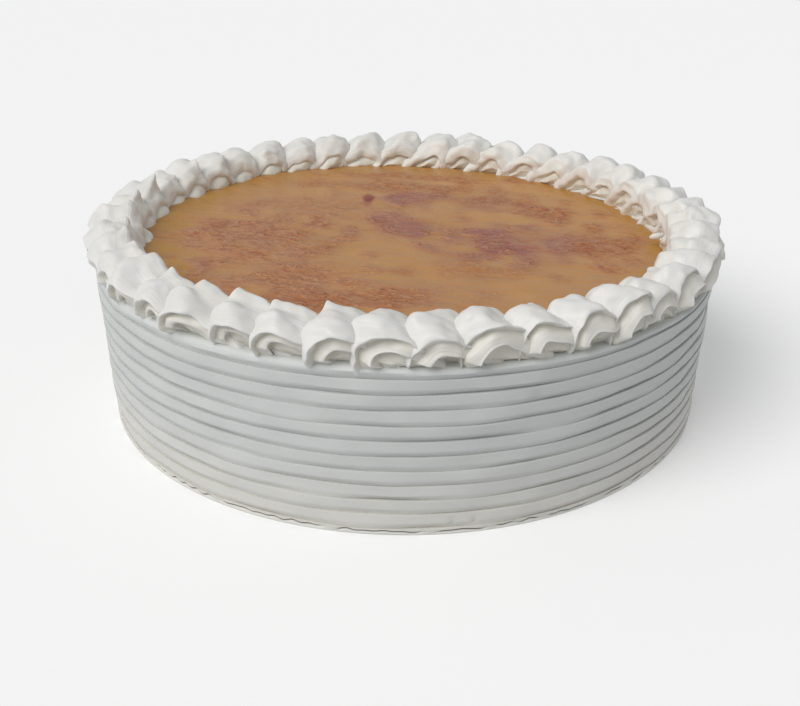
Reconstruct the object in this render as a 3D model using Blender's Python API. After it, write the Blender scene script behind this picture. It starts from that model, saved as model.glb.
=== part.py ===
"""A round layer cake, uncut: a body coated in whipped cream and combed all round, a toasted
yolk sheet in its top, and a ring of piped cream shells on the rim.

Metres, +Z up. The origin is the centre of the underside, on the surface the cake stands on.
The front is at -Y, and the shells run anticlockwise seen from above.
"""

import bmesh
import bpy
import numpy as np
from mathutils.bvhtree import BVHTree

# Body
FOOT_RADIUS = 0.123
WALL_FLARE = 0.026
RIM_HEIGHT = 0.0625
RIM_TILT = -0.012
SHOULDER = 0.0022
BODY_SIDES = 44
SHARP_FROM = np.radians(40)

# Comb grooves
GROOVE_COUNT = 11
GROOVE_FIRST = 0.0033
GROOVE_PITCH = 0.00562
GROOVE_DEPTH = 0.0011
GROOVE_WIDTH = 0.0022
LEDGE_SHARE = 0.05
SLOPE_SHARE = 0.27
COMBED_HEIGHT = GROOVE_FIRST + (GROOVE_COUNT - 1) * GROOVE_PITCH + GROOVE_WIDTH / 2

# Toasted yolk sheet, laid in a shallow recess
SHEET_RADIUS = 0.1095
SHEET_HEIGHT = 0.0633
SHEET_TILT = -0.031
SHEET_THICKNESS = 0.0028
GAP = 0.0003

# Ring of piped shells, each cut clear of the next by SWELL and of what it stands on
SHELL_COUNT = 43
FIRST_SHELL = np.radians(249.7)
CLOSEST_PITCH_AT = np.radians(277)
PITCH_SWAY = np.radians(3.1)
RING_RADIUS = 0.1165
PIVOT_HEIGHT = 0.0652
RING_TILT = -0.003
SHELL_SEED = 11
SIZE_SPREAD = 0.05
LEAN_SPREAD = np.radians(5)
DEPTH_SPREAD = 0.05
SHIFT_SPREAD = 0.0006
SLIDE_SPREAD = 0.012
PEAK_SPREAD = 0.6
SWELL = 0.0004
SEAT_DEPTH = 0.050
KEPT_SHARES = (0.76, 0.90, 1)
CUT_TRIES = [(solver, kept) for kept in KEPT_SHARES for solver in ("EXACT", "MANIFOLD")]

# One shell: a star section that fans over a pivot, from the front of the bulb to the tail
TOOTH_ANGLE = np.radians(52)
OUTER_STATIONS = (-2.40, -2.0, -1.20, -1.0, -0.42)
INNER_STATIONS = (0.42, 1.0, 1.45, 2.0, 2.40)
SECTION_LIFT = 0.0046
SECTION_HEIGHT = 0.0083
SECTION_FLOOR = 0.0018
SECTION_HALF_WIDTH = 0.0116
HOLLOW_DEPTH = 0.28
INNER_SHARE = 0.32
HOLLOW_CURVE = 1.7
LIP_WIDTH = 0.20
INNER_LIP_WIDTH = 0.45
LIP_LOSS = 0.07
UNDERCUT = np.radians(24)
OUTER_DIP = 0.05
INNER_DIP = 0.07
INNER_LOSS = 0.06
PIVOT_SHIFT = 0.0030
FORWARD = 0.0050
FORWARD_BREADTH = 0.80
FRONT_REACH = 0.0135
FRONT_CURL = 0.0050
TAIL_REACH = 0.0190
TAIL_CURL = 0.0025
TAIL_SINK = 0.0038
TAIL_DROP = 0.28
TAIL_PINCH = 0.48
INNER_PINCH = 0.10
TAIL_SMOOTHING = 0.9
UNDERSIDE = 1.10
UNDER_TUCK = 0.80
INNER_TUCK = 0.30
PEAK_HEIGHT = 0.0040
PEAK_AT = np.radians(122)
PEAK_LENGTH = np.radians(18)
PEAK_BREADTH = 0.36
FAN_FRONT = np.radians(226)
FAN_BACK = np.radians(-20)
FAN_STEPS = 9
LEAN = np.radians(-10)
LEAN_SWAY = np.radians(13)
LEAN_TURN = 3
LEAN_TURN_AT = 0.14
PEAK_TOWARDS = np.radians(210)
PEAK_FULL = 0.8


def finish(name, colour, roughness):
    """A plain finish: its colour, and how rough it is."""
    material = bpy.data.materials.new(name)
    material.use_nodes = True
    shader = material.node_tree.nodes["Principled BSDF"]
    shader.inputs["Base Color"].default_value = (*colour, 1.0)
    shader.inputs["Roughness"].default_value = roughness
    return material


def closed_grid(name, points, material):
    """A solid from rings of points (rings, around, 3), with a fan of triangles at each end."""
    rings, around = points.shape[:2]
    index = np.arange(rings * around).reshape(rings, around)
    turned = np.roll(index, -1, axis=1)
    faces = np.stack([index[:-1], turned[:-1], turned[1:], index[1:]], axis=-1).reshape(-1, 4)
    faces = faces.tolist() + [index[0, ::-1].tolist(), index[-1].tolist()]
    mesh = bpy.data.meshes.new(name)
    mesh.from_pydata(points.reshape(-1, 3).tolist(), [], faces)
    shape = bmesh.new()
    shape.from_mesh(mesh)
    shape.faces.ensure_lookup_table()
    bmesh.ops.poke(shape, faces=shape.faces[-2:])
    bmesh.ops.triangulate(shape, faces=shape.faces)
    bmesh.ops.recalc_face_normals(shape, faces=shape.faces)
    shape.to_mesh(mesh)
    shape.free()
    mesh.shade_smooth()
    mesh.set_sharp_from_angle(angle=SHARP_FROM)
    if material:
        mesh.materials.append(material)
    solid = bpy.data.objects.new(name, mesh)
    bpy.context.collection.objects.link(solid)
    return solid


def turned_points(radii, heights, tilts, sides):
    """A profile turned about Z. Each height rises or falls across X by its own tilt."""
    angle = np.arange(sides) * 2 * np.pi / sides
    radii, heights, tilts = (np.asarray(row, float)[:, None] for row in (radii, heights, tilts))
    x = radii * np.cos(angle)
    y = radii * np.sin(angle)
    return np.stack([x, y, heights + tilts * x], axis=-1)


def eased(value, low, high):
    """0 under low, 1 over high, and a smooth S between them."""
    share = np.clip((value - low) / (high - low), 0, 1)
    return share * share * (3 - 2 * share)


def wall_radius(height):
    """The plain wall: the foot's radius plus the flare times the height."""
    return FOOT_RADIUS + WALL_FLARE * height


def body_profile():
    """Rows of (radius, height, tilt) up the combed wall, over the rim and into the recess.

    Each groove is a sawtooth: a crisp ledge goes in, and the band above it slopes back out.
    """
    rows = [(wall_radius(0), 0.0, 0.0)]
    for groove in range(GROOVE_COUNT):
        ledge = GROOVE_FIRST + (groove - SLOPE_SHARE / 2) * GROOVE_PITCH
        for share, depth in ((0, 0.0), (LEDGE_SHARE, GROOVE_DEPTH), (LEDGE_SHARE + SLOPE_SHARE, 0.0)):
            height = ledge + share * GROOVE_PITCH
            rows.append((wall_radius(height) - depth, height, 0.0))
    rows.append((wall_radius(COMBED_HEIGHT), COMBED_HEIGHT, 0.0))
    rim = wall_radius(RIM_HEIGHT)
    recess = SHEET_RADIUS + GAP
    floor = SHEET_HEIGHT - SHEET_THICKNESS - GAP
    rows.append((rim - SHOULDER, RIM_HEIGHT, RIM_TILT))
    rows.append((recess, RIM_HEIGHT, RIM_TILT))
    rows.append((recess, floor, SHEET_TILT))
    return rows


def cake_body(material):
    return closed_grid("cake_body", turned_points(*zip(*body_profile()), BODY_SIDES), material)


def yolk_sheet(material):
    """The toasted sheet, a shallow disc whose top runs a little down towards +X."""
    radii = (SHEET_RADIUS, SHEET_RADIUS)
    heights = (SHEET_HEIGHT - SHEET_THICKNESS, SHEET_HEIGHT)
    points = turned_points(radii, heights, (SHEET_TILT, SHEET_TILT), BODY_SIDES)
    return closed_grid("yolk_sheet", points, material)


def shell_azimuths():
    """Where each shell's crest is: closest together at the front, widest apart at the back."""
    even = FIRST_SHELL + np.arange(SHELL_COUNT) * 2 * np.pi / SHELL_COUNT
    return even - PITCH_SWAY * np.sin(even - CLOSEST_PITCH_AT)


def ring_lean(azimuth):
    """How far the shells lean over there: outwards on the left, upright on the right."""
    return LEAN + LEAN_SWAY * np.tanh(LEAN_TURN * (np.cos(azimuth) + LEAN_TURN_AT))


def ring_peak(azimuth):
    """How much of the pointed inner front shows there: all of it on the left, none on the right."""
    return eased(np.cos(azimuth - PEAK_TOWARDS), 0, PEAK_FULL)


def section_angles():
    """Angles round the section, from stations counted in teeth from the top: on and behind each lip."""
    return np.pi / 2 + TOOTH_ANGLE * np.array(OUTER_STATIONS + INNER_STATIONS)


def fan_angles():
    """Angles round the pivot, from the front of the bulb over the top to the tail."""
    return np.linspace(FAN_FRONT, FAN_BACK, FAN_STEPS)


def star_hollow(angle, depth):
    """How much the section falls short at each angle.

    Counted in teeth from the top, the crown dips softly between 0 and 1, more on its inner side.
    Past each whole tooth stands a lip: the surface drops at once behind it, stays low, then
    swells to the next one, which is a little lower. On the inner side the lips are soft.
    """
    teeth = np.abs(angle - np.pi / 2) / TOOTH_ANGLE
    part = teeth % 1
    outside = angle < np.pi / 2
    crown = np.where(outside, OUTER_DIP, INNER_DIP) * np.sin(np.pi * part) ** 2
    lower = np.where(outside, 0, INNER_LOSS) * np.minimum(teeth, 1)
    drop = eased(part, 0, np.where(outside, LIP_WIDTH, INNER_LIP_WIDTH))
    share = np.where(outside, 1, INNER_SHARE / np.maximum(teeth, 1))
    hollow = depth * share * drop * (1 - part**HOLLOW_CURVE)
    return lower + np.where(teeth < 1, crown, hollow + LIP_LOSS * (teeth - 1))


def shell_points(angle, fan, size, lean, depth, peak):
    """Points of a shell (section angles, fan angles, 3): along the ring, out, and up.

    A star section stands in a half plane that turns about the pivot, a level axis that points
    outwards. A fan angle of 180 degrees is the front of the bulb, 90 the top and 0 the tail. The
    front reaches nearly as far ahead for every ridge but the innermost, and all ridges run out in
    the same tail. The middle of the crown is drawn further forward than its sides.
    """
    angle = angle[:, None]
    fan = fan[None, :]
    tail = eased(np.cos(fan), 0, 1)
    hollow = star_hollow(angle, depth) * (1 - TAIL_SMOOTHING * tail)
    from_lip = np.abs((angle - np.pi / 2) / TOOTH_ANGLE - 1) / PEAK_BREADTH
    from_peak = np.abs(fan - PEAK_AT) / PEAK_LENGTH
    reach = 1 - hollow
    turned = angle + UNDERCUT * hollow * np.sign(np.pi / 2 - angle) + lean
    rise = reach * np.sin(turned)
    below = SECTION_LIFT - SECTION_FLOOR
    radius = SECTION_LIFT + np.where(rise > 0, SECTION_HEIGHT, below) * rise
    radius = radius + peak * np.exp(-(from_lip**2) - from_peak)
    forward = FORWARD * np.exp(-(((angle - np.pi / 2) / TOOTH_ANGLE / FORWARD_BREADTH) ** 2))
    ahead = FRONT_REACH * radius**2 / (radius**2 + FRONT_CURL**2)
    behind = TAIL_REACH * radius**2 / (radius**2 + TAIL_CURL**2)
    radius = radius * (1 - TAIL_DROP * tail)
    out = SECTION_HALF_WIDTH * reach * np.cos(turned)
    out = out * (1 - np.where(out > 0, TAIL_PINCH, INNER_PINCH) * tail)
    out = out * (1 - np.where(out > 0, UNDER_TUCK, INNER_TUCK) * np.clip(-np.sin(fan), 0, 1))
    along = PIVOT_SHIFT + np.where(np.cos(fan) < 0, ahead, behind) * np.cos(fan)
    along = along - forward * np.clip(np.sin(fan), 0, 1)
    up = radius * np.sin(fan) * np.where(np.sin(fan) > 0, 1, UNDERSIDE) - TAIL_SINK * tail
    return size * np.stack([along, out, up], axis=-1)


def on_ring(points, azimuth, radius):
    """Bends a shell's own points round the ring, and sets them on the tilted rim."""
    along, out, up = np.moveaxis(points, -1, 0)
    turn = azimuth + along / RING_RADIUS
    x = (radius + out) * np.cos(turn)
    y = (radius + out) * np.sin(turn)
    return np.stack([x, y, PIVOT_HEIGHT + up + RING_TILT * x], axis=-1)


def swollen(solid, name):
    """A copy whose surface stands out a little, which cuts the neighbour clear of the shape."""
    mesh = solid.data.copy()
    points = np.empty(len(mesh.vertices) * 3, np.float32)
    normals = np.empty_like(points)
    mesh.vertices.foreach_get("co", points)
    mesh.vertex_normals.foreach_get("vector", normals)
    mesh.vertices.foreach_set("co", points + SWELL * normals)
    cutter = bpy.data.objects.new(name, mesh)
    bpy.context.collection.objects.link(cutter)
    cutter.display_type = "WIRE"
    cutter.hide_render = True
    return cutter


def seat_cutters():
    """The wall and rim as one plain solid and the sheet as another, both slightly swollen."""
    wall = wall_radius(COMBED_HEIGHT) + SWELL
    rim_rows = [
        (wall, SEAT_DEPTH, 0.0),
        (wall, COMBED_HEIGHT + SWELL, 0.0),
        (wall_radius(RIM_HEIGHT) - SHOULDER + SWELL, RIM_HEIGHT + SWELL, RIM_TILT),
    ]
    sheet_rows = [
        (SHEET_RADIUS + SWELL, SEAT_DEPTH, 0.0),
        (SHEET_RADIUS + SWELL, SHEET_HEIGHT + SWELL, SHEET_TILT),
    ]
    return [
        closed_grid("rim_cutter", turned_points(*zip(*rim_rows), BODY_SIDES), None),
        closed_grid("sheet_cutter", turned_points(*zip(*sheet_rows), BODY_SIDES), None),
    ]


def biggest_piece(mesh):
    """Leaves only the largest connected piece, so that no scrap of a cut tail stays."""
    shape = bmesh.new()
    shape.from_mesh(mesh)
    unseen = set(shape.verts)
    pieces = []
    while unseen:
        edge = [unseen.pop()]
        piece = []
        while edge:
            vertex = edge.pop()
            piece.append(vertex)
            found = {link.other_vert(vertex) for link in vertex.link_edges} & unseen
            unseen -= found
            edge.extend(found)
        pieces.append(piece)
    pieces.sort(key=len)
    scraps = [vertex for piece in pieces[:-1] for vertex in piece]
    bmesh.ops.delete(shape, geom=scraps, context="VERTS")
    shape.to_mesh(mesh)
    shape.free()


def surface_tree(mesh):
    """The mesh as a search tree, and whether each of its edges joins exactly two faces."""
    shape = bmesh.new()
    shape.from_mesh(mesh)
    tree = BVHTree.FromBMesh(shape)
    closed = len(shape.faces) > 0 and all(len(edge.link_faces) == 2 for edge in shape.edges)
    shape.free()
    return tree, closed


def cut_mesh(solid, cutters, solver, kept):
    """The solid's mesh cut by each cutter in turn, with its triangles thinned to the share kept."""
    for cutter in cutters:
        cut = solid.modifiers.new(cutter.name, "BOOLEAN")
        cut.operation = "DIFFERENCE"
        cut.solver = solver
        cut.object = cutter
    solid.modifiers.new("triangles", "TRIANGULATE")
    thin = solid.modifiers.new("thin", "DECIMATE")
    thin.ratio = kept
    graph = bpy.context.evaluated_depsgraph_get()
    mesh = bpy.data.meshes.new_from_object(solid.evaluated_get(graph))
    solid.modifiers.clear()
    biggest_piece(mesh)
    return mesh


def cut_clear(solid, cutters, neighbours):
    """Cuts by EXACT, or by MANIFOLD where that leaves an open edge or a touched neighbour.

    Where thinning is what opens the mesh, it is cut again with all its triangles kept.
    """
    for solver, kept in CUT_TRIES:
        mesh = cut_mesh(solid, cutters, solver, kept)
        tree, closed = surface_tree(mesh)
        if closed and not any(tree.overlap(neighbour) for neighbour in neighbours):
            break
    solid.data = mesh
    mesh.shade_smooth()
    mesh.set_sharp_from_angle(angle=SHARP_FROM)


def cream_shells(material, seats):
    """The ring of shells: each one's tail runs under the next bulb, which is piped over it."""
    draw = np.random.RandomState(SHELL_SEED)
    shells = []
    for number, azimuth in enumerate(shell_azimuths()):
        size, lean, depth, shift, slide = draw.uniform(-1, 1, 5)
        local = shell_points(
            section_angles(),
            fan_angles(),
            1 + SIZE_SPREAD * size,
            ring_lean(azimuth) + LEAN_SPREAD * lean,
            HOLLOW_DEPTH + DEPTH_SPREAD * depth,
            PEAK_HEIGHT * ring_peak(azimuth) * (1 + PEAK_SPREAD * slide),
        )
        placed = on_ring(local, azimuth + SLIDE_SPREAD * slide, RING_RADIUS + SHIFT_SPREAD * shift)
        shells.append(closed_grid(f"shell_{number + 1:02d}", placed, material))
    cutters = [swollen(shell, f"{shell.name}_cutter") for shell in shells]
    seat_trees = [surface_tree(seat.data)[0] for seat in seats]
    shell_trees = [surface_tree(shell.data)[0] for shell in shells]
    under = seat_cutters()
    for number, shell in enumerate(shells):
        over = (number + 1) % SHELL_COUNT
        cut_clear(shell, [*under, cutters[over]], [*seat_trees, shell_trees[over]])
    for cutter in under + cutters:
        bpy.data.objects.remove(cutter)


def main():
    for old in list(bpy.data.objects):
        bpy.data.objects.remove(old)
    coat = finish("combed_cream", (0.74, 0.755, 0.74), 0.60)
    yolk = finish("toasted_yolk", (0.45, 0.25, 0.10), 0.35)
    piped = finish("piped_cream", (0.84, 0.845, 0.82), 0.50)
    seats = [cake_body(coat), yolk_sheet(yolk)]
    cream_shells(piped, seats)


main()
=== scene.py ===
# %% [markdown]
# # A round layer cake in combed and piped cream
# The cake has three kinds of surface: a coat of whipped cream combed all round its side, a
# sheet of toasted egg yolk on top, and a ring of piped cream shells that hides the joint between
# the two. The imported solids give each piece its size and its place. This script gives each one
# its fine form and its finish, then a camera and soft light to see it by.

import bpy
import numpy as np
from mathutils import Matrix, Vector


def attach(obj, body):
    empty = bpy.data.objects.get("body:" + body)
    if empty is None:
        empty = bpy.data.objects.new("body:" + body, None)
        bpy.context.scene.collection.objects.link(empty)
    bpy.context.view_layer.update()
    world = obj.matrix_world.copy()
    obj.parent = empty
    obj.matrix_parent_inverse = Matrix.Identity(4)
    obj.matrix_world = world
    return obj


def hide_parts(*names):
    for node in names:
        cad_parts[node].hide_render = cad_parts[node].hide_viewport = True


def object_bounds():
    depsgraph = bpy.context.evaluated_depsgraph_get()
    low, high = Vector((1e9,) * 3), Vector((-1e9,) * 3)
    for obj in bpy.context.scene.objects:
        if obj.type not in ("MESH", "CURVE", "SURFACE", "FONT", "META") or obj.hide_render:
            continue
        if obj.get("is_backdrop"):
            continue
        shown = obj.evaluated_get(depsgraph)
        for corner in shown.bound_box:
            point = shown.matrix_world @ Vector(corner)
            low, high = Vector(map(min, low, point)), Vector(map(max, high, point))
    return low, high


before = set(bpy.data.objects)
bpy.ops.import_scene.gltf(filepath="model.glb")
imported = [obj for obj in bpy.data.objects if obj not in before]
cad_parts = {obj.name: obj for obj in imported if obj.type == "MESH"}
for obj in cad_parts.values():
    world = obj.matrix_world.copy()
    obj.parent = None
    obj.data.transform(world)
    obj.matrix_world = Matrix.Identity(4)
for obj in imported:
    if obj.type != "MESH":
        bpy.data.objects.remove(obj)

solid_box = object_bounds()
shell_names = sorted(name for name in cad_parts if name.startswith("shell_"))
print("solids", len(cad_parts), "of which shells", len(shell_names))

# %% [markdown]
# ## The camera
# A cake is photographed from a little above the table, near enough for the far rim to look
# smaller. The height and the distance are worked out from two facts: the foot's ellipse is less
# than half as deep as it is wide, and the foot fills two thirds of the picture's width.

# %% Camera
PICTURE_WIDTH = 800
SENSOR_WIDTH = 36
FOCAL_PIXELS = 1002
CAMERA_DISTANCE = 0.4453
CAMERA_HEIGHT_ANGLE = np.radians(26.67)
AIM_ANGLE = np.radians(25.70)
TURN_ANGLE = np.radians(-0.25)
ROLL_ANGLE = np.radians(0.17)


def camera_matrix():
    """The camera stands on a circle round the foot's centre and looks a little above that centre."""
    place = CAMERA_DISTANCE * np.array([0, -np.cos(CAMERA_HEIGHT_ANGLE), np.sin(CAMERA_HEIGHT_ANGLE)])
    level = np.array([np.sin(TURN_ANGLE), np.cos(TURN_ANGLE), 0])
    forward = np.cos(AIM_ANGLE) * level - np.sin(AIM_ANGLE) * np.array([0, 0, 1])
    right = np.array([np.cos(TURN_ANGLE), -np.sin(TURN_ANGLE), 0])
    up = np.cross(right, forward)
    rolled_right = np.cos(ROLL_ANGLE) * right + np.sin(ROLL_ANGLE) * up
    rolled_up = np.cos(ROLL_ANGLE) * up - np.sin(ROLL_ANGLE) * right
    matrix = np.eye(4)
    matrix[:3] = np.stack([rolled_right, rolled_up, -forward, place], axis=1)
    return Matrix(matrix.tolist())


camera = bpy.data.objects.new("camera", bpy.data.cameras.new("camera"))
bpy.context.collection.objects.link(camera)
camera.data.sensor_width = SENSOR_WIDTH
camera.data.lens = SENSOR_WIDTH * FOCAL_PIXELS / PICTURE_WIDTH
camera.data.clip_start = 0.01
camera.matrix_world = camera_matrix()
bpy.context.scene.camera = camera
print("lens", round(camera.data.lens, 2), "mm")

# %% [markdown]
# ## Floor and light
# White food needs shade to show its shape. A large soft light stands high on the left and a
# little in front, so the tops are bright and the side turns grey towards the right. An even pale
# surround fills the shadows. A sun lamp with a wide angle is used for the soft light, because
# its strength is the same all over the floor. The floor sends no light back up, so the hollows
# under the cream's edges stay grey, and it glows faintly itself, so that it still looks pale.

# %% Floor, light and surround
FLOOR_SIZE = 12.0
FLOOR_COLOUR = (0.96, 0.96, 0.955)
FLOOR_ROUGHNESS = 0.9
FLOOR_GLOSS = 0.1
FLOOR_GLOW = 0.10
SURROUND_COLOUR = (0.97, 0.985, 1.0)
SURROUND_STRENGTH = 0.45
LAMP_COLOUR = (1.0, 0.995, 0.98)
LAMP_STRENGTH = 1.75
LAMP_ANGLE = np.radians(40)
LAMP_TOWARDS = (-0.53, -0.47, 0.70)


def plain_floor(size, colour):
    """A level square about the origin, just under the cake."""
    half = size / 2
    corners = [(-half, -half, 0), (half, -half, 0), (half, half, 0), (-half, half, 0)]
    mesh = bpy.data.meshes.new("floor")
    mesh.from_pydata(corners, [], [(0, 1, 2, 3)])
    material = bpy.data.materials.new("pale_floor")
    material.use_nodes = True
    shader = material.node_tree.nodes["Principled BSDF"]
    shader.inputs["Base Color"].default_value = (*colour, 1)
    shader.inputs["Roughness"].default_value = FLOOR_ROUGHNESS
    shader.inputs["Specular IOR Level"].default_value = FLOOR_GLOSS
    shader.inputs["Emission Color"].default_value = (1, 1, 1, 1)
    shader.inputs["Emission Strength"].default_value = FLOOR_GLOW
    mesh.materials.append(material)
    floor = bpy.data.objects.new("floor", mesh)
    bpy.context.collection.objects.link(floor)
    return floor


floor = plain_floor(FLOOR_SIZE, FLOOR_COLOUR)
floor.visible_diffuse = False
floor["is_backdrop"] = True

surround = bpy.data.worlds.new("surround")
bpy.context.scene.world = surround
surround.use_nodes = True
backdrop = surround.node_tree.nodes["Background"]
backdrop.inputs["Color"].default_value = (*SURROUND_COLOUR, 1)
backdrop.inputs["Strength"].default_value = SURROUND_STRENGTH

lamp = bpy.data.objects.new("soft_lamp", bpy.data.lights.new("soft_lamp", "SUN"))
bpy.context.collection.objects.link(lamp)
lamp.data.energy = LAMP_STRENGTH
lamp.data.angle = LAMP_ANGLE
lamp.data.color = LAMP_COLOUR
lamp.rotation_mode = "QUATERNION"
lamp.rotation_quaternion = Vector(LAMP_TOWARDS).to_track_quat("Z", "Y")
bpy.context.scene.view_settings.view_transform = "Standard"
print("lamp stands towards", LAMP_TOWARDS)

# %% [markdown]
# ## Helpers for every surface
# Each surface here is a grid of points: rows from one end to the other, and columns that go
# right round. The first helper writes such a grid straight into a mesh, which is quick even for
# ninety thousand points, and the second stores a number for each point, for a finish to read.
# The third is a smooth, random-looking field for the small unevenness that cream and glaze
# always have. It adds up waves that run in random directions, so it has no seam.

# %% Helpers


def skin_from_rows(name, rows, uv=None):
    """A closed skin from points (rows, around, 3), with a fan of triangles to a pole at each end.

    Each pole is the middle of its end row. Corners are listed so that the faces point outwards
    when the rows run upwards at the outside and the columns run anticlockwise seen from above.
    """
    count, around = rows.shape[:2]
    poles = np.stack([rows[0].mean(axis=0), rows[-1].mean(axis=0)])
    points = np.concatenate([rows.reshape(-1, 3), poles])
    index = np.arange(count * around).reshape(count, around)
    turned = np.roll(index, -1, axis=1)
    quads = np.stack([index[:-1], turned[:-1], turned[1:], index[1:]], axis=-1).reshape(-1, 4)
    low_pole = np.full(around, count * around)
    low_fan = np.stack([turned[0], index[0], low_pole], axis=-1)
    high_fan = np.stack([index[-1], turned[-1], low_pole + 1], axis=-1)
    corners = np.concatenate([quads.ravel(), low_fan.ravel(), high_fan.ravel()])
    sizes = np.concatenate([np.full(len(quads), 4), np.full(2 * around, 3)])
    mesh = bpy.data.meshes.new(name)
    mesh.vertices.add(len(points))
    mesh.vertices.foreach_set("co", points.astype(np.float32).ravel())
    mesh.loops.add(len(corners))
    mesh.loops.foreach_set("vertex_index", corners.astype(np.int32))
    mesh.polygons.add(len(sizes))
    starts = np.concatenate([[0], np.cumsum(sizes)[:-1]])
    mesh.polygons.foreach_set("loop_start", starts.astype(np.int32))
    mesh.update(calc_edges=True)
    mesh.validate()
    mesh.shade_smooth()
    if uv is not None:
        layer = mesh.uv_layers.new(name="UVMap")
        ends = np.stack([uv[0].mean(axis=0), uv[-1].mean(axis=0)])
        flat = np.concatenate([uv.reshape(-1, 2), ends])
        layer.data.foreach_set("uv", flat[corners].astype(np.float32).ravel())
    piece = bpy.data.objects.new(name, mesh)
    bpy.context.collection.objects.link(piece)
    return piece


def store_tone(piece, name, values):
    """Stores one number for each point of a piece's rows, and the mean of an end row at each pole."""
    stored = piece.data.attributes.new(name, "FLOAT", "POINT")
    ends = [values[0].mean(), values[-1].mean()]
    stored.data.foreach_set("value", np.concatenate([values.ravel(), ends]).astype(np.float32))


def waves(points, size, seed, stretch=(1, 1, 1), count=16):
    """A smooth field of mean 0 and spread 1: cosines along random directions, about one size apart.

    Each wave's length is within a third of the size, and stretch makes the field longer on an axis.
    """
    draw = np.random.RandomState(seed)
    directions = draw.normal(size=(count, 3))
    directions /= np.linalg.norm(directions, axis=1, keepdims=True)
    lengths = size * draw.uniform(0.67, 1.33, count)
    phases = draw.uniform(0, 2 * np.pi, count)
    vectors = 2 * np.pi * directions / lengths[:, None] / np.array(stretch)
    total = np.zeros(points.shape[:-1])
    for vector, phase in zip(vectors, phases):
        total += np.cos(points @ vector + phase)
    return total * np.sqrt(2 / count)


def eased(value, low, high):
    """0 under low, 1 over high, and a smooth S between them."""
    share = np.clip((value - low) / (high - low), 0, 1)
    return share * share * (3 - 2 * share)


# %% [markdown]
# ## Whipped cream
# Whipped cream is nearly white. The coat is given a darker, cooler white than the piped shells.
# Near the foot the coat has a painted warm bounce of light, and the shells' hollows a painted
# warm shade. Light goes a short way into the cream, which softens every shadow, so the finish
# has some scattering under its surface. Fine air bubbles leave the combed side matt and
# slightly pitted, while the nozzle leaves the shells smoother, with faint drawn lines along them.

# %% Cream finishes: tones
COAT_COLOUR = (0.69, 0.705, 0.69)
COAT_SHADE = (0.66, 0.675, 0.665)
COAT_ROUGHNESS = 0.62
# Painted light: FOOT_BOUNCE_COLOUR is a warm bounce of light painted on the coat, full at the foot and gone
# higher up.
FOOT_BOUNCE_COLOUR = (0.76, 0.745, 0.70)
# Painted shade: CRACK_SHADE_COLOUR is near-black shade painted into the crack, with a brownish tint of
# painted reflection.
CRACK_SHADE_COLOUR = (0.07, 0.045, 0.03)
BOUNCE_FROM = 0.032
BOUNCE_FULL = 0.004
PIPED_COLOUR = (0.82, 0.81, 0.79)
PIPED_SHADE = (0.79, 0.78, 0.755)
PIPED_ROUGHNESS = 0.48
# Painted shade: HOLLOW_SHADE_COLOUR is a darker, warmer cream painted into the shells' hollows, where shade
# falls.
HOLLOW_SHADE_COLOUR = (0.77, 0.74, 0.65)
HOLLOW_SHADE_MOST = 0.85
DRAWN_LINES = (60, 2.5, 1)
SCATTER_WEIGHT = 0.25
SCATTER_RADIUS = (1.0, 0.9, 0.75)
SCATTER_DEPTH = 0.0015


def new_finish(name):
    """A material with nodes, its tree and its main shader."""
    material = bpy.data.materials.new(name)
    material.use_nodes = True
    tree = material.node_tree
    return material, tree, tree.nodes["Principled BSDF"]


def noise_node(tree, coordinates, scale, detail, rough=0.5):
    """A noise texture on the given coordinates."""
    noise = tree.nodes.new("ShaderNodeTexNoise")
    noise.inputs["Scale"].default_value = scale
    noise.inputs["Detail"].default_value = detail
    noise.inputs["Roughness"].default_value = rough
    tree.links.new(coordinates, noise.inputs["Vector"])
    return noise.outputs["Fac"]


def range_node(tree, value, low, high, new_low, new_high):
    """Maps low..high to new_low..new_high and clamps the result."""
    node = tree.nodes.new("ShaderNodeMapRange")
    node.inputs["From Min"].default_value = low
    node.inputs["From Max"].default_value = high
    node.inputs["To Min"].default_value = new_low
    node.inputs["To Max"].default_value = new_high
    tree.links.new(value, node.inputs["Value"])
    return node.outputs["Result"]


def mix_node(tree, share, first, second):
    """Mixes two colours. Each is a link or three numbers."""
    node = tree.nodes.new("ShaderNodeMix")
    node.data_type = "RGBA"
    tree.links.new(share, node.inputs["Factor"])
    for socket, colour in ((node.inputs[6], first), (node.inputs[7], second)):
        if isinstance(colour, tuple):
            socket.default_value = (*colour, 1)
        else:
            tree.links.new(colour, socket)
    return node.outputs[2]


def bump_node(tree, height, distance, strength, under=None):
    """Relief from a height, in metres, on top of an earlier relief."""
    node = tree.nodes.new("ShaderNodeBump")
    node.inputs["Distance"].default_value = distance
    node.inputs["Strength"].default_value = strength
    tree.links.new(height, node.inputs["Height"])
    if under is not None:
        tree.links.new(under, node.inputs["Normal"])
    return node.outputs["Normal"]


def attribute_node(tree, name):
    """Reads a number that is stored on the mesh's points."""
    node = tree.nodes.new("ShaderNodeAttribute")
    node.attribute_name = name
    return node.outputs["Fac"]


def multiply_node(tree, first, second):
    """One value times another. The second may be a number."""
    node = tree.nodes.new("ShaderNodeMath")
    node.operation = "MULTIPLY"
    tree.links.new(first, node.inputs[0])
    if isinstance(second, float):
        node.inputs[1].default_value = second
    else:
        tree.links.new(second, node.inputs[1])
    return node.outputs["Value"]


def mapped_node(tree, coordinates, scale):
    """Coordinates times a scale on each axis: a pattern on them is drawn out where it is small."""
    node = tree.nodes.new("ShaderNodeMapping")
    node.inputs["Scale"].default_value = scale
    tree.links.new(coordinates, node.inputs["Vector"])
    return node.outputs["Vector"]


# %% Cream finishes: combed and piped


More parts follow.
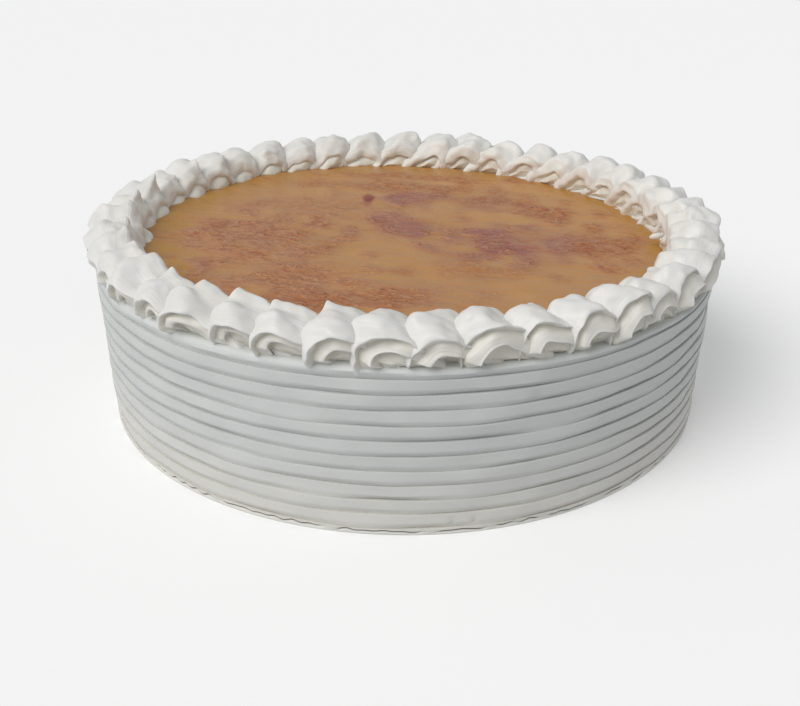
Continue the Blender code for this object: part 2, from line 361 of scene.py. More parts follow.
def cream_finish(name, colour, shade, roughness):
    """Cream: soft blotches between two close whites, light that scatters 1 to 2 mm inside."""
    material, tree, shader = new_finish(name)
    place = tree.nodes.new("ShaderNodeTexCoord").outputs["Object"]
    blotches = range_node(tree, noise_node(tree, place, 60, 2), 0.35, 0.65, 0, 1)
    cream = mix_node(tree, blotches, colour, shade)
    tree.links.new(cream, shader.inputs["Base Color"])
    shader.inputs["Roughness"].default_value = roughness
    shader.inputs["Subsurface Weight"].default_value = SCATTER_WEIGHT
    shader.inputs["Subsurface Radius"].default_value = SCATTER_RADIUS
    shader.inputs["Subsurface Scale"].default_value = SCATTER_DEPTH
    return material, tree, shader, place, cream


def combed_cream():
    """The coat: matt, with pits and grain, painted warm bounce light near its foot and painted shade in its
    crack.
    """
    coat = cream_finish("combed_cream", COAT_COLOUR, COAT_SHADE, COAT_ROUGHNESS)
    material, tree, shader, place, cream = coat
    height = tree.nodes.new("ShaderNodeSeparateXYZ")
    tree.links.new(place, height.inputs["Vector"])
    # Painted light: the coat is mixed towards a warm tint near its foot, as bounce light would tint it.
    low = range_node(tree, height.outputs["Z"], BOUNCE_FROM, BOUNCE_FULL, 0, 1)
    bounce_warmed = mix_node(tree, low, cream, FOOT_BOUNCE_COLOUR)
    # Painted shade: the crack is coloured near-black, as shade inside it.
    crack_shade = range_node(tree, attribute_node(tree, "crack_shade"), 0.3, 0.7, 0, 1)
    tree.links.new(mix_node(tree, crack_shade, bounce_warmed, CRACK_SHADE_COLOUR), shader.inputs["Base Color"])
    pits = tree.nodes.new("ShaderNodeTexVoronoi")
    pits.inputs["Scale"].default_value = 420
    tree.links.new(place, pits.inputs["Vector"])
    pit_depth = range_node(tree, pits.outputs["Distance"], 0.0, 0.22, 0, 1)
    grained = bump_node(tree, noise_node(tree, place, 900, 3), 0.0002, 0.35)
    tree.links.new(bump_node(tree, pit_depth, 0.0002, 0.25, grained), shader.inputs["Normal"])
    return material


def piped_cream():
    """The shells: smoother, with a painted warm shade in their hollows and lines drawn by the nozzle's
    teeth.
    """
    piped = cream_finish("piped_cream", PIPED_COLOUR, PIPED_SHADE, PIPED_ROUGHNESS)
    material, tree, shader, place, cream = piped
    # Painted shade: the deeper the hollow, the more the cream is mixed to the darker, warmer tone.
    deep = multiply_node(tree, attribute_node(tree, "hollow_shade"), HOLLOW_SHADE_MOST)
    tree.links.new(mix_node(tree, deep, cream, HOLLOW_SHADE_COLOUR), shader.inputs["Base Color"])
    unwrapped = tree.nodes.new("ShaderNodeUVMap").outputs["UV"]
    lines = noise_node(tree, mapped_node(tree, unwrapped, DRAWN_LINES), 1.0, 2)
    grained = bump_node(tree, noise_node(tree, place, 700, 2), 0.0002, 0.15)
    tree.links.new(bump_node(tree, lines, 0.0003, 0.75, grained), shader.inputs["Normal"])
    return material


coat_material = combed_cream()
piped_material = piped_cream()
print("finishes", coat_material.name, piped_material.name)

# %% [markdown]
# ## The combed coat
# The baker holds a toothed scraper against the side while the cake turns. Each tooth leaves a
# groove, and the cream between two teeth stands as a flat band. A band's face is nearly upright
# and its lower edge curls in under itself, so the groove shows as a soft dark line with a sharp
# ledge below it. Just over the foot the coat has torn in a ragged crack, and a few nicks and
# smears break the combing. The whole coat could be a solid cut by rings, but one profile carried
# round the cake gives the same form with tidy rows: a row of heights, and a radius for each
# height and azimuth.

# %% Coat: wall and recess
FOOT_RADIUS = 0.123
WALL_FLARE = 0.026
RIM_HEIGHT = 0.0625
RIM_TILT = -0.012
SHOULDER = 0.0022
GROOVE_COUNT = 11
GROOVE_FIRST = 0.0033
GROOVE_PITCH = 0.00562
GROOVE_DEPTH = 0.0012
GROOVE_WIDTH = 0.0022
COMBED_HEIGHT = GROOVE_FIRST + (GROOVE_COUNT - 1) * GROOVE_PITCH + GROOVE_WIDTH / 2
SHEET_RADIUS = 0.1095
SHEET_HEIGHT = 0.0633
SHEET_TILT = -0.031
SHEET_THICKNESS = 0.0028
RECESS_GAP = 0.0003
COAT_COLUMNS = 720
LEDGE_SHARE = 0.05
CURL_SHARE = 0.30
CURL_POWER = 1.15
CURL_END = LEDGE_SHARE + CURL_SHARE
ROW_SHARES = np.array([0, 0.015, LEDGE_SHARE, 0.065, 0.10, 0.15, 0.21, CURL_END, 0.45, 0.975])
LEDGE_DROP = 0.00062
LEDGE_EDGE = np.radians(34)
# Each mark: azimuth, height, how far it reaches round and up, and how deep it is.
MARKS = [
    (np.radians(289.7), 0.0489, np.radians(0.7), 0.0007, 0.0007),
    (np.radians(298.6), 0.0068, np.radians(0.5), 0.0010, 0.0005),
    (np.radians(300.1), 0.0086, np.radians(0.6), 0.0009, 0.0006),
    (np.radians(277.5), 0.0043, np.radians(0.35), 0.0005, 0.0006),
    (np.radians(281.0), 0.0045, np.radians(0.35), 0.0005, 0.0006),
    (np.radians(262.0), 0.0455, np.radians(0.5), 0.0006, 0.0004),
]
CRACK_HEIGHT = 0.0012
CRACK_DEPTH = 0.0011
CRACK_SWAY = 0.00022
FOOT_ROWS = np.array([0, 0.5, 0.85, 1.0, 1.15, 1.5])
SWELL_AMOUNT = 0.00016
SWELL_SIZE = 0.030
RIPPLE_AMOUNT = 0.00006
RIPPLE_SIZE = 0.006
print("grooves", GROOVE_COUNT, "marks", len(MARKS))

# %% Coat: the comb's path and teeth


def wall_radius(height):
    """The plain wall: the foot's radius plus the flare times the height."""
    return FOOT_RADIUS + WALL_FLARE * height


def comb_sway(azimuth, height):
    """How far the comb had moved up or down there: waves round the cake, larger higher up."""
    draw = np.random.RandomState(5)
    sway = np.zeros_like(azimuth)
    for turns in (2, 3, 5, 7, 11):
        sway += np.cos(turns * azimuth + draw.uniform(0, 2 * np.pi)) / turns
    return sway * (0.00012 + 0.0005 * (height / RIM_HEIGHT) ** 3)


def tooth_depth(share):
    """How deep a groove is at a share of its pitch, going up: a sawtooth.

    A crisp ledge goes in at once, then the next band's lower edge slopes out and rounds off.
    """
    ledge = eased(share, 0, LEDGE_SHARE)
    slope = np.clip((share - LEDGE_SHARE) / CURL_SHARE, 0, 1)
    return ledge * (1 - slope) ** CURL_POWER


# %% Coat: rows


def level_row(azimuth, radius, height, tilt):
    """A ring at one radius and height, tilted about the Y axis."""
    x = radius * np.cos(azimuth)
    return np.stack([x, radius * np.sin(azimuth), height + tilt * x], axis=-1)


def wall_rows(azimuth):
    """The combed wall: a few rows by the foot with its crack, then the same rows for each groove.

    The rows of a groove follow the comb's sway, so ten of them draw it sharply. The deepest
    rows also lie a little lower, so a band's top edge stands up as a thin burr.
    """
    foot = FOOT_ROWS * CRACK_HEIGHT
    first = GROOVE_FIRST - CURL_SHARE / 2 * GROOVE_PITCH
    combed = (first + (np.arange(GROOVE_COUNT)[:, None] + ROW_SHARES) * GROOVE_PITCH).ravel()
    combed = np.append(combed[combed < COMBED_HEIGHT], COMBED_HEIGHT)
    share = ((combed - first) / GROOVE_PITCH + 1e-9) % 1
    base = np.concatenate([foot, combed])[:, None]
    cut = np.concatenate([np.zeros(len(foot)), GROOVE_DEPTH * tooth_depth(share)])[:, None]
    dropped = np.concatenate([np.zeros(len(foot)), LEDGE_DROP * tooth_depth(share)])[:, None]
    angle = np.broadcast_to(azimuth, (len(base), len(azimuth)))
    sway = comb_sway(angle, base) * eased(base, 0.0015, 0.005)
    sway = sway * eased(RIM_HEIGHT - base, 0.0015, 0.004)
    height = base - dropped + sway
    plain = np.stack([FOOT_RADIUS * np.cos(angle), FOOT_RADIUS * np.sin(angle), height], axis=-1)
    pressed = 1 + 0.25 * waves(plain, 0.040, 23, (1, 1, 0.3))
    around = plain * np.array([1, 1, 0])
    open_crack = eased(waves(around, 0.011, 24), -1.3, -0.2)
    crack = CRACK_DEPTH * np.exp(-(((height - CRACK_HEIGHT) / (0.16 * CRACK_HEIGHT)) ** 2)) * open_crack
    height = height + CRACK_SWAY * waves(around, 0.005, 25) * eased(height, 0, CRACK_HEIGHT) * (base < 0.002)
    swells = SWELL_AMOUNT * waves(plain, SWELL_SIZE, 21, (1, 1, 0.35))
    uneven = swells + RIPPLE_AMOUNT * waves(plain, RIPPLE_SIZE, 22, (2.5, 2.5, 1))
    radius = wall_radius(height) - cut * pressed - crack + uneven * eased(height, 0, 0.002)
    for turn, level, wide, tall, deep in MARKS:
        radius = radius - deep * np.exp(-(((angle - turn) / wide) ** 2) - ((height - level) / tall) ** 2)
    return np.stack([radius * np.cos(angle), radius * np.sin(angle), height], axis=-1), crack / CRACK_DEPTH


def coat_rows():
    """Rows of the coat from the middle of the underside, up the wall, over the rim, to the recess.

    Comes with how far each point lies in the crack above the foot, from 0 to 1, which the
    finish paints dark as shade.
    """
    azimuth = np.arange(COAT_COLUMNS) * 2 * np.pi / COAT_COLUMNS
    under = [level_row(azimuth, FOOT_RADIUS * share, 0.0, 0.0) for share in (0.4, 0.98)]
    wall, crack = wall_rows(azimuth)
    turn = np.linspace(0, np.pi / 2, 5)[1:]
    middle = wall_radius(RIM_HEIGHT) - SHOULDER
    over = []
    for angle in turn:
        rise = COMBED_HEIGHT + (RIM_HEIGHT - COMBED_HEIGHT) * np.sin(angle)
        over.append(level_row(azimuth, middle + SHOULDER * np.cos(angle), rise, RIM_TILT * np.sin(angle)))
    inner = SHEET_RADIUS + RECESS_GAP
    over.append(level_row(azimuth, inner, RIM_HEIGHT, RIM_TILT))
    recess_floor = SHEET_HEIGHT - SHEET_THICKNESS - RECESS_GAP
    over += [level_row(azimuth, share * inner, recess_floor, SHEET_TILT) for share in (1, 0.4)]
    # The crack share is the mask for the shade painted into the crack.
    crack_shade = np.concatenate([np.zeros((2, COAT_COLUMNS)), crack, np.zeros((len(over), COAT_COLUMNS))])
    return np.concatenate([np.stack(under), wall, np.stack(over)]), crack_shade


# %% Coat: the piece
rows, crack_shade = coat_rows()
combed_coat = skin_from_rows("combed_coat", rows)
combed_coat.data.set_sharp_from_angle(angle=LEDGE_EDGE)
# Stores where the crack's painted shade goes.
store_tone(combed_coat, "crack_shade", crack_shade)
combed_coat.data.materials.append(coat_material)
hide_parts("cake_body")
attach(combed_coat, "root")
print("coat", len(combed_coat.data.polygons), "faces")

# %% [markdown]
# ## The toasted yolk sheet
# Egg yolk cooked with sugar is spread thin, dusted and burnt with a hot iron. The sugar skin
# shrinks into fine wrinkles that catch the light, darkest where the iron stood longest. The sheet
# is a disc whose height is a field of thin ridges, strong in the toasted patches and faint in
# the golden parts. Painting the patches on a flat disc would miss the glints, and simulating the
# skin would take long, so each patch is a soft oval in numbers. How toasted, how reddish and how
# mauve each point is goes into the mesh as attributes, and so do the burnt spot and the amber edge.

# %% Sheet: toasted patches
SHEET_COLUMNS = 700
SHEET_ROWS = 128
WRINKLE_HEIGHT = 0.00070
VISIBLE_CENTRE = 0.005
VISIBLE_RADIUS = 0.100
# Each patch: its centre, how far it reaches across and to the back, and its strength.
BROWN_PATCHES = [
    ((-0.062, -0.008), (0.036, 0.030), 0.85),
    ((-0.046, -0.052), (0.032, 0.026), 0.70),
    ((-0.010, -0.068), (0.040, 0.014), 0.45),
    ((-0.034, 0.034), (0.040, 0.020), 0.45),
    ((0.000, 0.010), (0.030, 0.020), 0.30),
]
RED_PATCHES = [
    ((0.010, 0.086), (0.050, 0.007), 0.55),
    ((0.020, 0.066), (0.040, 0.010), 0.40),
    ((0.067, 0.035), (0.016, 0.014), 0.95),
    ((0.083, -0.006), (0.014, 0.026), 0.90),
    ((0.046, 0.052), (0.018, 0.010), 0.45),
    ((-0.016, 0.070), (0.055, 0.010), 0.45),
    ((-0.020, -0.072), (0.028, 0.012), 0.60),
    ((0.030, -0.040), (0.030, 0.010), 0.35),
    ((-0.0787, 0.0011), (0.0045, 0.005), 1.0),
]
MAUVE_PATCHES = [
    ((0.0420, -0.0080), (0.031, 0.024), 1.0),
    ((0.0057, 0.0521), (0.016, 0.013), 1.0),
    ((0.0396, 0.0459), (0.014, 0.013), 0.55),
    ((-0.0011, 0.0100), (0.019, 0.014), 0.9),
]
BURNT_SPOT = ((-0.0164, 0.0479), (0.0026, 0.0095), 1.0)


def patch(x, y, centre, reach, strength, edge):
    """A soft oval: full strength in the middle, none past its reach, with an edge made ragged."""
    away = np.hypot((x - centre[0]) / reach[0], (y - centre[1]) / reach[1])
    return strength * (1 - eased(away + 0.22 * edge, 0.25, 1.40))


def patches(x, y, listed, edge):
    """Several soft ovals laid over each other: what each leaves free is taken up by the next."""
    free = np.ones_like(x)
    for centre, reach, strength in listed:
        free = free * (1 - patch(x, y, centre, reach, strength, edge))
    return 1 - free


# %% Sheet: wrinkles and rows


def wrinkles(points):
    """Thin ridges where a field of waves is near nothing, longer left to right than front to back."""
    warped = points + 0.002 * waves(points, 0.012, 31)[..., None]
    field = waves(warped, 0.0046, 32, (1.6, 1, 1), 28)
    broken = eased(waves(points, 0.008, 33, (1.6, 1, 1)), -0.3, 0.8)
    return np.exp(-((field / 0.20) ** 2)) * broken


def sheet_rows():
    """Rows from the middle of the underside, out, up the edge and back to the middle of the top."""
    azimuth = np.arange(SHEET_COLUMNS) * 2 * np.pi / SHEET_COLUMNS
    low = SHEET_HEIGHT - SHEET_THICKNESS
    radii = np.concatenate([[0.4, 1.0, 1.0], np.linspace(0.995, 0.004, SHEET_ROWS)]) * SHEET_RADIUS
    heights = np.concatenate([[low, low, SHEET_HEIGHT - 0.0004], np.full(SHEET_ROWS, SHEET_HEIGHT)])
    x = radii[:, None] * np.cos(azimuth)
    y = radii[:, None] * np.sin(azimuth)
    rows = np.stack([x, y, heights[:, None] + SHEET_TILT * x], axis=-1)
    flat = rows * np.array([1, 1, 0])
    edge = waves(flat, 0.016, 41)
    tone = {
        "browned": patches(x, y, BROWN_PATCHES, edge),
        "reddened": patches(x, y, RED_PATCHES, edge),
        "mauve": patches(x, y, MAUVE_PATCHES, edge),
        "burnt": patch(x, y, *BURNT_SPOT, edge),
        "amber": eased(np.hypot(x - VISIBLE_CENTRE, y) / VISIBLE_RADIUS + 0.02 * edge, 0.88, 1.03)
        * (0.2 + 0.8 * np.abs(np.cos(azimuth)) + 0.4 * eased(-np.sin(azimuth), 0.5, 1)),
    }
    toasted = np.clip(tone["browned"] + tone["reddened"] + 0.8 * tone["mauve"], 0, 1)
    on_top = (np.arange(len(radii)) >= 3)[:, None]
    wrinkled = wrinkles(flat)
    # Painted highlight: the crest tone puts a pale colour on the wrinkles' tops in toasted parts, standing
    # in for glints.
    tone["crest"] = wrinkled * toasted
    tone["toasted"] = toasted
    lift = WRINKLE_HEIGHT * wrinkled * (0.15 + 0.85 * toasted)
    lift += 0.00022 * waves(flat, 0.022, 42) + 0.00008 * waves(flat, 0.006, 43, (2, 1, 1))
    rows[..., 2] += lift * on_top * eased(SHEET_RADIUS - radii, 0, 0.004)[:, None]
    return rows, tone


# %% Sheet: the piece
rows, tone = sheet_rows()
yolk_glaze = skin_from_rows("yolk_glaze", rows)
for tone_name, values in tone.items():
    store_tone(yolk_glaze, tone_name, values)
print("sheet", len(yolk_glaze.data.polygons), "faces, highest ridge",
      round(float(rows[..., 2].max() - SHEET_HEIGHT) * 1000, 2), "mm over its middle")

# %% [markdown]
# ## The toasted yolk's finish
# The sugar skin is glossy and gold, amber where it is thick at the edge. The iron leaves brown,
# red and mauve tones that break up into fine speckles. Pale colour is painted on the wrinkles'
# crests and along the fold lines as a painted highlight. The stored numbers say where each tone
# lies, and noise on Object coordinates, drawn out from left to right as the folds are, breaks it
# up. That works from any side and needs no unwrapping.

# %% Sheet: tones of the finish
GOLD_COLOUR = (0.545, 0.270, 0.088)
DEEP_GOLD_COLOUR = (0.48, 0.238, 0.086)
AMBER_COLOUR = (0.46, 0.225, 0.034)
BROWN_COLOUR = (0.47, 0.185, 0.098)
RED_COLOUR = (0.36, 0.085, 0.022)
SPECKLE_COLOUR = (0.31, 0.088, 0.036)
MAUVE_COLOUR = (0.34, 0.112, 0.090)
BURNT_COLOUR = (0.26, 0.030, 0.018)
# Painted highlight: CREST_HIGHLIGHT_COLOUR is a pale tone painted on the wrinkles' crests and along the fold
# lines.
CREST_HIGHLIGHT_COLOUR = (0.60, 0.34, 0.19)
BROWN_MOST = 0.75
SPECKLE_MOST = 0.75
RED_MOST = 0.50
CREST_HIGHLIGHT_MOST = 0.45
FOLD_HIGHLIGHT_MOST = 0.42
GLAZE_ROUGHNESS = 0.34
GLAZE_GLOSS = 0.45
DRAWN_OUT = (0.75, 1, 1)
PULLED_OUT = (0.42, 1, 1)


# The fold lines give relief, and the same lines are painted pale as a highlight.
def fold_lines(tree, place, toasted):
    """Thin lines where a pulled-out noise is near its middle, faint where the sheet is golden."""
    folds = noise_node(tree, mapped_node(tree, place, PULLED_OUT), 210, 2, 0.6)
    rising = range_node(tree, folds, 0.42, 0.5, 0, 1)
    falling = range_node(tree, folds, 0.5, 0.56, 1, 0)
    fold_and_highlight = multiply_node(tree, rising, falling)
    return multiply_node(tree, fold_and_highlight, range_node(tree, toasted, 0.1, 0.8, 0.12, 1))


def speckled(tree, place, scale, detail, low, high):
    """Small hard-edged spots: a rough noise cut off between two close levels."""
    return range_node(tree, noise_node(tree, place, scale, detail, 0.75), low, high, 0, 1)


print("gold", GOLD_COLOUR, "roughness", GLAZE_ROUGHNESS)

# %% Sheet: the finish


def yolk_colour(tree, drawn_out, fold_and_highlight):
    """Clouds of two golds, then amber, brown, speckles, mauve, red, burnt, and painted highlights on ridges
    and folds.
    """
    clouds = range_node(tree, noise_node(tree, drawn_out, 45, 3), 0.35, 0.68, 0, 1)
    speckles = speckled(tree, drawn_out, 330, 4, 0.49, 0.57)
    flecks = speckled(tree, drawn_out, 430, 3, 0.48, 0.55)
    mottled = range_node(tree, noise_node(tree, drawn_out, 160, 4, 0.6), 0.36, 0.56, 0.70, 1)
    browned = attribute_node(tree, "browned")
    reddened = attribute_node(tree, "reddened")
    spotted = multiply_node(tree, browned, speckles)
    mauve = attribute_node(tree, "mauve")

    colour = mix_node(tree, clouds, GOLD_COLOUR, DEEP_GOLD_COLOUR)
    colour = mix_node(tree, attribute_node(tree, "amber"), colour, AMBER_COLOUR)
    colour = mix_node(tree, multiply_node(tree, browned, BROWN_MOST), colour, BROWN_COLOUR)
    colour = mix_node(tree, multiply_node(tree, spotted, SPECKLE_MOST), colour, SPECKLE_COLOUR)
    colour = mix_node(tree, multiply_node(tree, mauve, mottled), colour, MAUVE_COLOUR)
    colour = mix_node(tree, multiply_node(tree, reddened, RED_MOST), colour, RED_COLOUR)
    colour = mix_node(tree, multiply_node(tree, reddened, flecks), colour, RED_COLOUR)
    colour = mix_node(tree, attribute_node(tree, "burnt"), colour, BURNT_COLOUR)
    # Painted highlight on the wrinkles' crests, then along the fold lines.
    crest = multiply_node(tree, attribute_node(tree, "crest"), CREST_HIGHLIGHT_MOST)
    colour = mix_node(tree, crest, colour, CREST_HIGHLIGHT_COLOUR)
    return mix_node(tree, multiply_node(tree, fold_and_highlight, FOLD_HIGHLIGHT_MOST), colour, CREST_HIGHLIGHT_COLOUR)


def toasted_yolk():
    """Gold in the middle, amber at the edge, with toasted tones that break up into speckles."""
    material, tree, shader = new_finish("toasted_yolk")
    place = tree.nodes.new("ShaderNodeTexCoord").outputs["Object"]
    drawn_out = mapped_node(tree, place, DRAWN_OUT)
    toasted = attribute_node(tree, "toasted")
    fold_and_highlight = fold_lines(tree, place, toasted)
    tree.links.new(yolk_colour(tree, drawn_out, fold_and_highlight), shader.inputs["Base Color"])
    shader.inputs["Roughness"].default_value = GLAZE_ROUGHNESS
    shader.inputs["Specular IOR Level"].default_value = GLAZE_GLOSS
    strength = range_node(tree, toasted, 0, 1, 0.4, 1.3)
    crinkle = multiply_node(tree, noise_node(tree, drawn_out, 330, 4, 0.7), strength)
    relief = bump_node(tree, fold_and_highlight, 0.0008, 0.55, bump_node(tree, crinkle, 0.0010, 0.6))
    tree.links.new(relief, shader.inputs["Normal"])
    return material


yolk_glaze.data.materials.append(toasted_yolk())
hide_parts("yolk_sheet")
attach(yolk_glaze, "root")
print("patches", len(BROWN_PATCHES) + len(RED_PATCHES) + len(MAUVE_PATCHES))

# %% [markdown]
# ## The piped shells
# A star nozzle is pressed, drawn up and over, then pulled away: the cream swells into a bulb,
# fans over and runs out in a tail, and the next bulb is piped on top of that tail. The nozzle's
# teeth leave nested C-shaped ridges. One shell is a star section that turns about a pivot, a
# level line pointing outwards. The same named sizes shape the solids, so each fine shell sits
# exactly where its solid is. First comes the ring: how the shells lean and point on each side.

# %% Shells: where they stand
SHELL_COUNT = len(shell_names)
FIRST_SHELL = np.radians(249.7)
CLOSEST_PITCH_AT = np.radians(277)
PITCH_SWAY = np.radians(3.1)
RING_RADIUS = 0.1165
PIVOT_HEIGHT = 0.0652
RING_TILT = -0.003
LEAN = np.radians(-10)
LEAN_SWAY = np.radians(13)
LEAN_TURN = 3
LEAN_TURN_AT = 0.14
PEAK_TOWARDS = np.radians(210)
PEAK_FULL = 0.8


def ring_lean(azimuth):
    """How far the shells lean over there: outwards on the left, upright on the right."""
    return LEAN + LEAN_SWAY * np.tanh(LEAN_TURN * (np.cos(azimuth) + LEAN_TURN_AT))


def ring_peak(azimuth):
    """How much of the pointed inner front shows there: all of it on the left, none on the right."""
    return eased(np.cos(azimuth - PEAK_TOWARDS), 0, PEAK_FULL)


def on_ring(points, azimuth, radius):
    """Bends a shell's own points round the ring, and sets them on the tilted rim."""
    along, out, up = np.moveaxis(points, -1, 0)
    turn = azimuth + along / RING_RADIUS
    x = (radius + out) * np.cos(turn)
    y = (radius + out) * np.sin(turn)
    return np.stack([x, y, PIVOT_HEIGHT + up + RING_TILT * x], axis=-1)


print("ring", round(2000 * RING_RADIUS), "mm across, shells", SHELL_COUNT)

# %% [markdown]
# ## The star section
# Cut across, a shell is the star that the nozzle presses out, seen from the pivot: a soft crown
# between two teeth, then lips with hollows under them. A drawn outline could be swept, but a
# share that falls short of a round arch at each angle keeps every ridge in step along the shell.

# %% Shells: the star section
TOOTH_ANGLE = np.radians(52)
SECTION_ENDS = np.radians(125)
HOLLOW_DEPTH = 0.28
INNER_SHARE = 0.32
HOLLOW_CURVE = 1.7
LIP_WIDTH = 0.20
INNER_LIP_WIDTH = 0.45
LIP_LOSS = 0.07
OUTER_DIP = 0.05
INNER_DIP = 0.07
INNER_LOSS = 0.06


def star_hollow(angle, depth):
    """How much the section falls short at each angle.

    Counted in teeth from the top, the crown dips softly between 0 and 1, more on its inner side.
    Past each whole tooth stands a lip: the surface drops at once behind it, stays low, then
    swells to the next one, which is a little lower. On the inner side the lips are soft.
    """
    teeth = np.abs(angle - np.pi / 2) / TOOTH_ANGLE
    part = teeth % 1
    outside = angle < np.pi / 2
    crown = np.where(outside, OUTER_DIP, INNER_DIP) * np.sin(np.pi * part) ** 2
    lower = np.where(outside, 0, INNER_LOSS) * np.minimum(teeth, 1)
    drop = eased(part, 0, np.where(outside, LIP_WIDTH, INNER_LIP_WIDTH))
    share = np.where(outside, 1, INNER_SHARE / np.maximum(teeth, 1))
    hollow = depth * share * drop * (1 - part**HOLLOW_CURVE)
    return lower + np.where(teeth < 1, crown, hollow + LIP_LOSS * (teeth - 1))


print("teeth every", round(float(np.degrees(TOOTH_ANGLE))), "degrees")

# %% [markdown]
# ## The fan
# The section turns about the pivot from under the front, over the top and down into the tail.
# Each ridge keeps its own loop, and all the loops nest, so the surface never crosses itself.
# On the left the first inner lip is drawn up into a small peak, where the nozzle came away.
# A sweep along a curve would pinch at the pivot, so the fan is written out as one formula.

# %% Shells: the fan's measures
SECTION_LIFT = 0.0046
SECTION_HEIGHT = 0.0083
SECTION_FLOOR = 0.0018
SECTION_HALF_WIDTH = 0.0116
UNDERCUT = np.radians(24)
FAN_FRONT = np.radians(226)
FAN_BACK = np.radians(-20)
PIVOT_SHIFT = 0.0030
FORWARD = 0.0050
FORWARD_BREADTH = 0.80
FRONT_REACH = 0.0135
FRONT_CURL = 0.0050
TAIL_REACH = 0.0190
TAIL_CURL = 0.0025
TAIL_SINK = 0.0038
TAIL_DROP = 0.28
TAIL_PINCH = 0.48
INNER_PINCH = 0.10
TAIL_SMOOTHING = 0.9
UNDERSIDE = 1.10
UNDER_TUCK = 0.80
INNER_TUCK = 0.30
PEAK_HEIGHT = 0.0040
PEAK_AT = np.radians(122)
PEAK_LENGTH = np.radians(18)
PEAK_BREADTH = 0.36
print("fan", round(float(np.degrees(FAN_FRONT - FAN_BACK))), "degrees")

# %% Shells: the fan


def shell_points(angle, fan, size, lean, depth, peak):
    """Points of a shell (section angles, fan angles, 3): along the ring, out, and up.

    The star section stands in a half plane that turns about the pivot. A fan angle of 180
    degrees is the front of the bulb, 90 the top and 0 the tail. The front reaches nearly as
    far ahead for every ridge but the innermost, and all ridges run out in the same tail. The
    middle of the crown is drawn further forward than its sides. The peak is a bump on the first
    lip of the inner side, a little ahead of the top.
    """
    angle = angle[:, None]
    fan = fan[None, :]
    tail = eased(np.cos(fan), 0, 1)
    hollow = star_hollow(angle, depth) * (1 - TAIL_SMOOTHING * tail)
    from_lip = np.abs((angle - np.pi / 2) / TOOTH_ANGLE - 1) / PEAK_BREADTH
    from_peak = np.abs(fan - PEAK_AT) / PEAK_LENGTH
    reach = 1 - hollow
    turned = angle + UNDERCUT * hollow * np.sign(np.pi / 2 - angle) + lean
    rise = reach * np.sin(turned)
    below = SECTION_LIFT - SECTION_FLOOR
    radius = SECTION_LIFT + np.where(rise > 0, SECTION_HEIGHT, below) * rise
    radius = radius + peak * np.exp(-(from_lip**2) - from_peak)
    forward = FORWARD * np.exp(-(((angle - np.pi / 2) / TOOTH_ANGLE / FORWARD_BREADTH) ** 2))
    ahead = FRONT_REACH * radius**2 / (radius**2 + FRONT_CURL**2)
    behind = TAIL_REACH * radius**2 / (radius**2 + TAIL_CURL**2)
    radius = radius * (1 - TAIL_DROP * tail)
    out = SECTION_HALF_WIDTH * reach * np.cos(turned)
    out = out * (1 - np.where(out > 0, TAIL_PINCH, INNER_PINCH) * tail)
    out = out * (1 - np.where(out > 0, UNDER_TUCK, INNER_TUCK) * np.clip(-np.sin(fan), 0, 1))
    along = PIVOT_SHIFT + np.where(np.cos(fan) < 0, ahead, behind) * np.cos(fan)
    along = along - forward * np.clip(np.sin(fan), 0, 1)
    up = radius * np.sin(fan) * np.where(np.sin(fan) > 0, 1, UNDERSIDE) - TAIL_SINK * tail
    return size * np.stack([along, out, up], axis=-1)

# %% [markdown]
# ## One shell after another
# Hand-piped shells are never alike, so each gets its own size, lean, depth and place from
# seeded random numbers, and two fields of waves for the softness of cream. Both ends of the
# section close on the pivot with a small nub, as the cream does in the hollows.

# %% Shells: the pieces
SHELL_SEED = 11
SIZE_SPREAD = 0.05
LEAN_SPREAD = np.radians(5)
DEPTH_SPREAD = 0.05
SHIFT_SPREAD = 0.0006
SLIDE_SPREAD = 0.012
PEAK_SPREAD = 0.6
NUB_HEIGHT = 0.0012
INNER_NUB = 0.0022
INNER_NUB_SWAY = 0.0013
NUB_STEPS = 6
SECTION_ROWS = 92
FAN_COLUMNS = 96


def with_nubs(rows, steps, nubs):
    """Adds rows at both ends that close on the pivot and swell into a small nub of its own height."""
    ends = []
    for end, nub in zip((rows[0], rows[-1]), nubs):
        middle = end.mean(axis=0)
        share = np.linspace(1, 0.08, steps + 1)[1:, None, None]
        cap = middle + (end - middle) * share
        cap[..., 1] += nub * (1 - share[..., 0] ** 2)
        ends.append(cap)
    return np.concatenate([ends[0][::-1], rows, ends[1]])


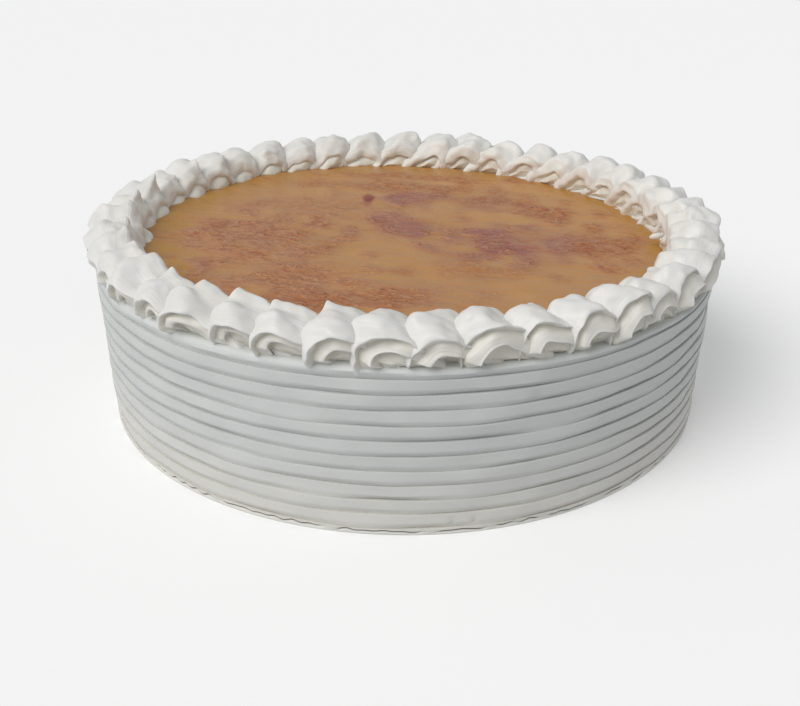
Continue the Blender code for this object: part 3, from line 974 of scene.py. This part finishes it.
def piped_shell(number, azimuth, numbers):
    """One shell, with the ring's own random numbers and a little unevenness of its own."""
    size, lean, depth, shift, slide = numbers
    angle = np.pi / 2 + np.linspace(-SECTION_ENDS, SECTION_ENDS, SECTION_ROWS)
    fan = np.linspace(FAN_FRONT, FAN_BACK, FAN_COLUMNS)
    points = shell_points(
        angle,
        fan,
        1 + SIZE_SPREAD * size,
        ring_lean(azimuth) + LEAN_SPREAD * lean,
        HOLLOW_DEPTH + DEPTH_SPREAD * depth,
        PEAK_HEIGHT * ring_peak(azimuth) * (1 + PEAK_SPREAD * slide),
    )
    inner_nub = INNER_NUB - INNER_NUB_SWAY * np.cos(azimuth)
    points = with_nubs(points, NUB_STEPS, (NUB_HEIGHT, -inner_nub))
    for amount, wave_size, seed in ((0.00055, 0.016, 100), (0.00016, 0.006, 400)):
        drift = [waves(points, wave_size, seed + 3 * number + axis) for axis in range(3)]
        points = points + amount * np.stack(drift, axis=-1)
    placed = on_ring(points, azimuth + SLIDE_SPREAD * slide, RING_RADIUS + SHIFT_SPREAD * shift)
    rows, columns = placed.shape[:2]
    uv = np.stack(np.meshgrid(np.linspace(0, 1, rows), np.linspace(0, 1, columns), indexing="ij"), axis=-1)
    piece = skin_from_rows(f"piped_{shell_names[number]}", placed, uv)
    # How deep the section's hollow is at each row: the mask for the shade painted into the hollows.
    hollow_shade = np.clip(star_hollow(angle, HOLLOW_DEPTH) / HOLLOW_DEPTH, 0, 1)
    nubs = np.ones(NUB_STEPS)
    hollow_shade = np.concatenate([nubs, hollow_shade, nubs])[:, None] * np.ones(columns)
    store_tone(piece, "hollow_shade", hollow_shade)
    return piece


even = FIRST_SHELL + np.arange(SHELL_COUNT) * 2 * np.pi / SHELL_COUNT
azimuths = even - PITCH_SWAY * np.sin(even - CLOSEST_PITCH_AT)
draw = np.random.RandomState(SHELL_SEED)
for number, azimuth in enumerate(azimuths):
    shell = piped_shell(number, azimuth, draw.uniform(-1, 1, 5))
    shell.data.materials.append(piped_material)
    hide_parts(shell_names[number])
    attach(shell, "root")
print("shells", SHELL_COUNT, "with", len(shell.data.polygons), "faces each")

# %% [markdown]
# ## A drop of cream
# On the right a small drop hangs from a shell's inner lip over the glaze, drawn out as the
# nozzle was pulled away. It is a ball stretched towards the middle and bent down a little.

# %% Drop
DROP_AT = (0.1042, -0.0049, 0.0648)
DROP_REACH = 0.0034
DROP_RADIUS = 0.0013
DROP_BEND = 0.0007


def drop_rows(steps=24, around=32):
    """Rings along the drop: their radius follows a half circle, fuller towards the free end."""
    turn = np.linspace(0, np.pi, steps + 2)[1:-1, None]
    spin = np.arange(around) * 2 * np.pi / around
    radius = DROP_RADIUS * np.sin(turn) * (1 + 0.25 * np.cos(turn))
    x = np.broadcast_to(DROP_AT[0] - DROP_REACH * np.cos(turn), (steps, around))
    y = DROP_AT[1] + radius * np.cos(spin)
    z = DROP_AT[2] + radius * np.sin(spin) - DROP_BEND * np.cos(turn)
    return np.stack([x, y, z], axis=-1)


rows = drop_rows()
steps, around = rows.shape[:2]
uv = np.stack(np.meshgrid(np.linspace(0, 1, steps), np.linspace(0, 1, around), indexing="ij"), axis=-1)
cream_drop = skin_from_rows("cream_drop", rows, uv)
# The drop has no hollows, so none of the painted hollow shade.
store_tone(cream_drop, "hollow_shade", np.zeros((steps, around)))
cream_drop.data.materials.append(piped_material)
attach(cream_drop, "root")
print("drop", round(2 * DROP_REACH * 1000, 1), "mm long")

# %% [markdown]
# ## Measure the size
# The dressed cake has to stay the size of its solids. The last cell measures both boxes and prints them.

# %% Measure and finish
boxes = {
    "solids": [list(corner) for corner in solid_box],
    "dressed": [list(corner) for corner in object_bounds()],
}
for box_name, (low, high) in boxes.items():
    print(box_name, "box in mm", np.round(1000 * (np.array(high) - np.array(low)), 1))
